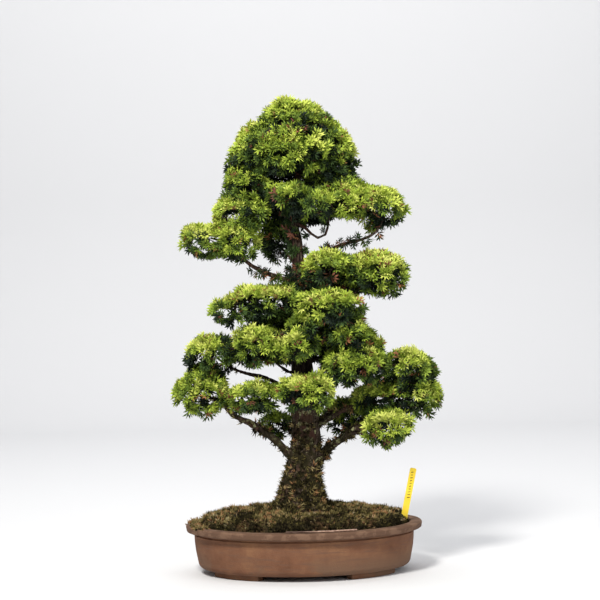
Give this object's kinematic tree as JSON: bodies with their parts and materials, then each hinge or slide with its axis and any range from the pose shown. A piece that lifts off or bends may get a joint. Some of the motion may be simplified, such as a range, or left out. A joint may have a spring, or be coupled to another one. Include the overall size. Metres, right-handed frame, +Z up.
{
  "type": "bonsai tree in a pot",
  "caption": "Dwarf cypress bonsai trained formal upright, with layered pads of scale foliage, in an oval unglazed stoneware pot with a moss mound and a plant label.",
  "frame": {"origin": "bottom centre of the whole object's box, on the ground under the pot", "axes": "+Z up, +X to the right along the pot's length, +Y to the back; the tree's front faces -Y"},
  "size_m": [0.5198, 0.36, 0.925],
  "materials": {
    "stoneware": "unglazed brown stoneware, mottled ochre and red-brown, worn paler on the lip",
    "soil": "damp dark gritty soil",
    "moss": "short brown-green moss with dry orange-brown patches",
    "bark": "grey-brown fissured bark with moss and pale lichen near the base",
    "foliage": "matte scale leaves in flat fans, bright yellow-green at the tips, dark inside",
    "label_plastic": "yellow plastic with plain dark pencil ticks",
    "dead_twig": "dry bare twig",
    "screen_plastic": "black-green plastic drainage mesh",
    "clip_wire": "soft drawn aluminium wire"
  },
  "bodies": {
    "root": {"pot": "stoneware", "drainage_screen_left": "screen_plastic", "drainage_screen_right": "screen_plastic", "screen_clip_left": "clip_wire", "screen_clip_right": "clip_wire", "soil": "soil", "moss": "moss", "trunk": "bark", "plant_label": "label_plastic", "fallen_twig": "dead_twig", "bough_1_left": "bark", "bough_1_right": "bark", "bough_1_right_upper": "bark", "bough_1_back_left": "bark", "bough_1_back_right": "bark", "bough_1_front": "bark", "bough_2_left": "bark", "bough_2_left_thin": "bark", "bough_2_right": "bark", "bough_2_back": "bark", "bough_3_front_right": "bark", "bough_3_left": "bark", "bough_3_front": "bark", "bough_3_right": "bark", "bough_3_back": "bark", "bough_4_left": "bark", "bough_4_back_left": "bark", "bough_4_right": "bark", "bough_4_drooping": "bark", "bough_5_front": "bark", "bough_5_back": "bark", "foliage_apex": "foliage", "foliage_7_left": "foliage", "foliage_7_right": "foliage", "foliage_7_front": "foliage", "foliage_7_back": "foliage", "foliage_6_left": "foliage", "foliage_6_right": "foliage", "foliage_5_front": "foliage", "foliage_5_back": "foliage", "foliage_4_left": "foliage", "foliage_4_back_left": "foliage", "foliage_4_right": "foliage", "foliage_3_left": "foliage", "foliage_3_front": "foliage", "foliage_3_front_right": "foliage", "foliage_3_right": "foliage", "foliage_3_right_inner": "foliage", "foliage_3_back": "foliage", "foliage_2_left": "foliage", "foliage_2_right": "foliage", "foliage_2_right_end": "foliage", "foliage_2_back_left": "foliage", "foliage_2_back_right": "foliage", "foliage_1_left": "foliage", "foliage_1_front": "foliage", "foliage_1_right": "foliage", "foliage_1_right_upper": "foliage", "foliage_1_back_left": "foliage", "foliage_1_back_right": "foliage"}
  },
  "joints": []
}
